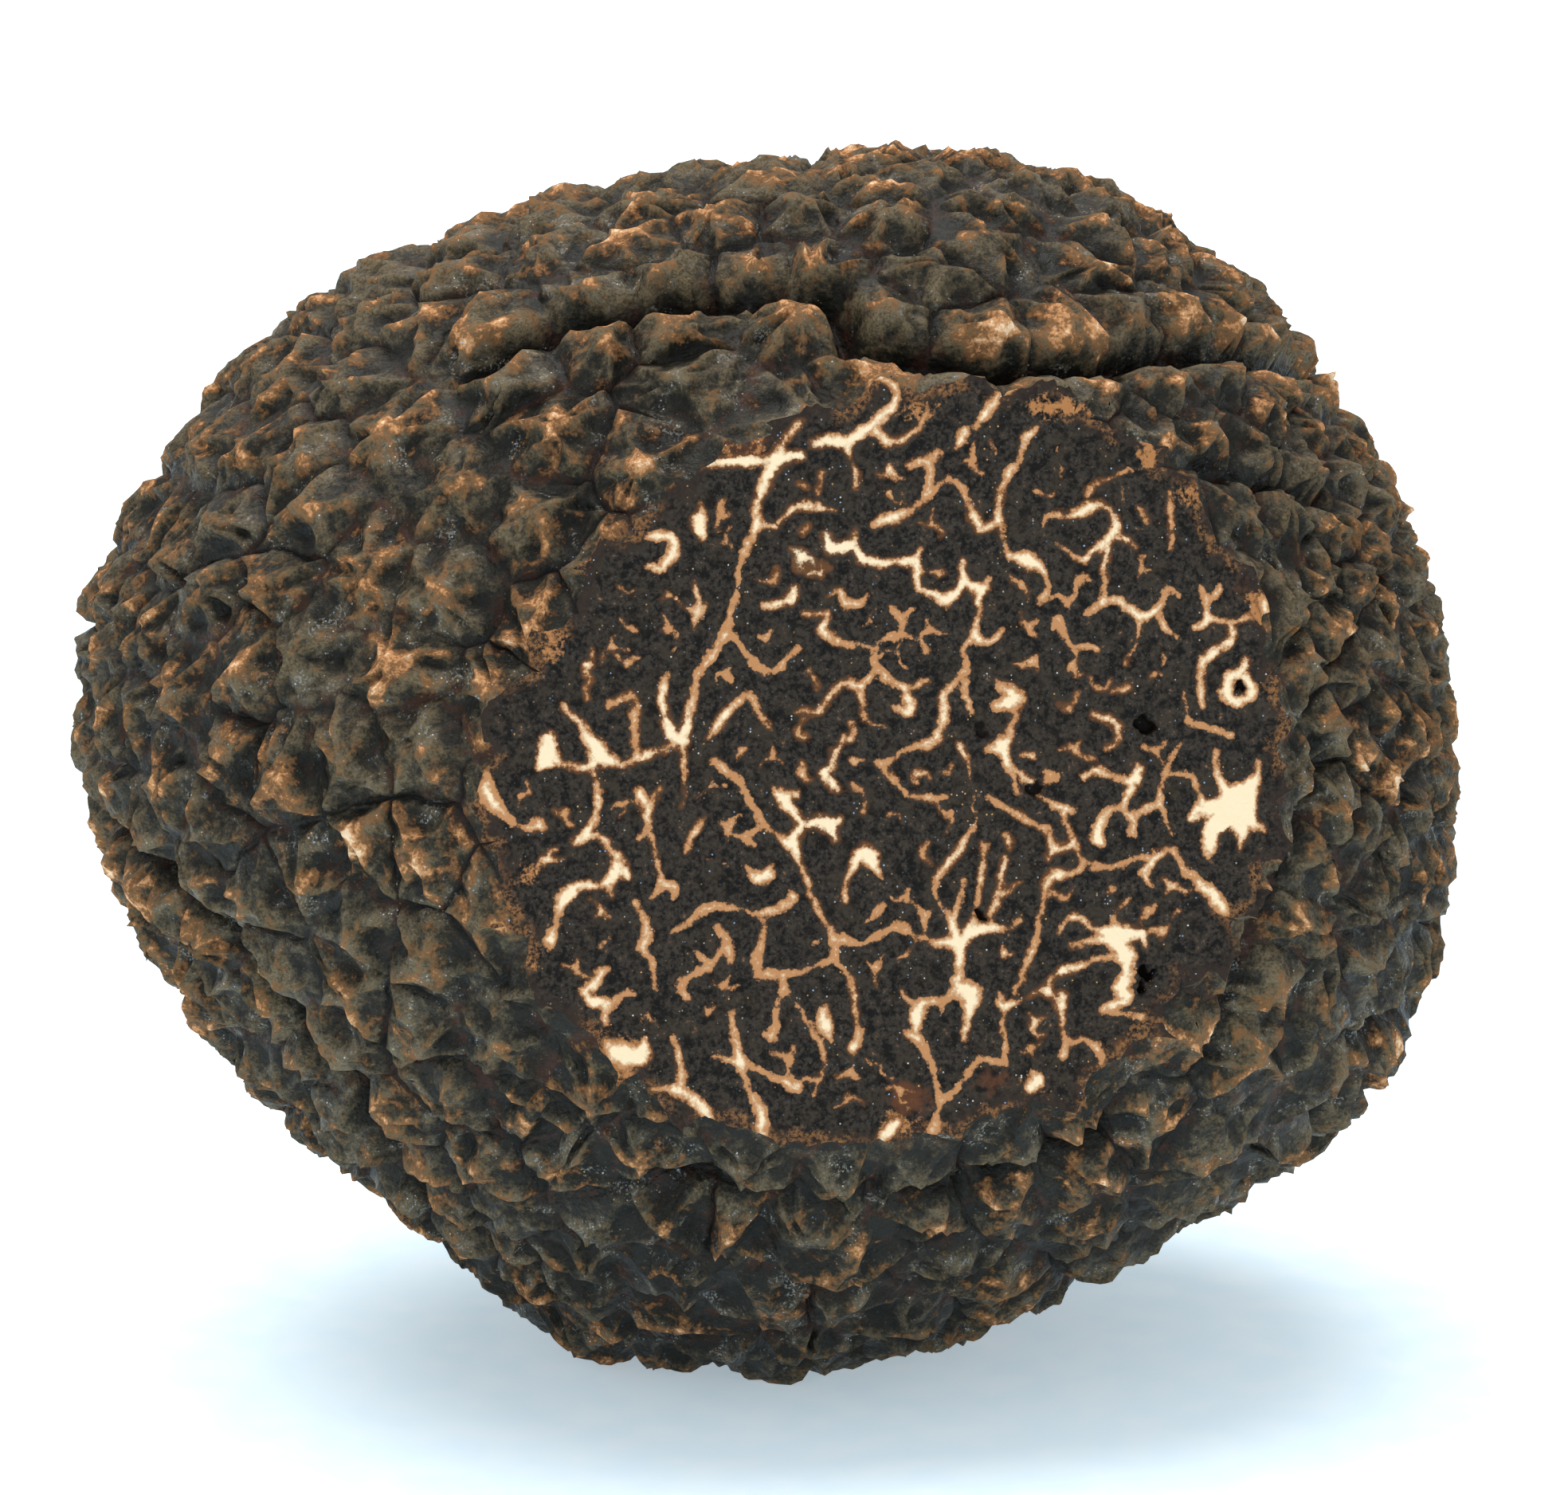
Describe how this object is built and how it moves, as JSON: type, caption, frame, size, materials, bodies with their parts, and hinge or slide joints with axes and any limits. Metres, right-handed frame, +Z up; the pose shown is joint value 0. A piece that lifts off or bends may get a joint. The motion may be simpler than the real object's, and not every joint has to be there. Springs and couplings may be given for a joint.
{
  "type": "black truffle",
  "caption": "Black truffle: a lobed tuber with a warty dark rind and a flat cut across its front that shows dark flesh with pale veins; it rests on a small flat spot.",
  "frame": {"origin": "middle of the small flat spot that the truffle rests on", "axes": "+Z up; +X along the longest side; the cut face looks along -Y, a little towards +X and +Z"},
  "size_m": [0.0497, 0.0435, 0.0432],
  "materials": {
    "rind": "dry, dark, warty rind with rust-coloured tips",
    "flesh": "matt black-brown flesh with cream veins, shown at the cut"
  },
  "bodies": {
    "root": {"truffle": "rind"}
  },
  "joints": []
}
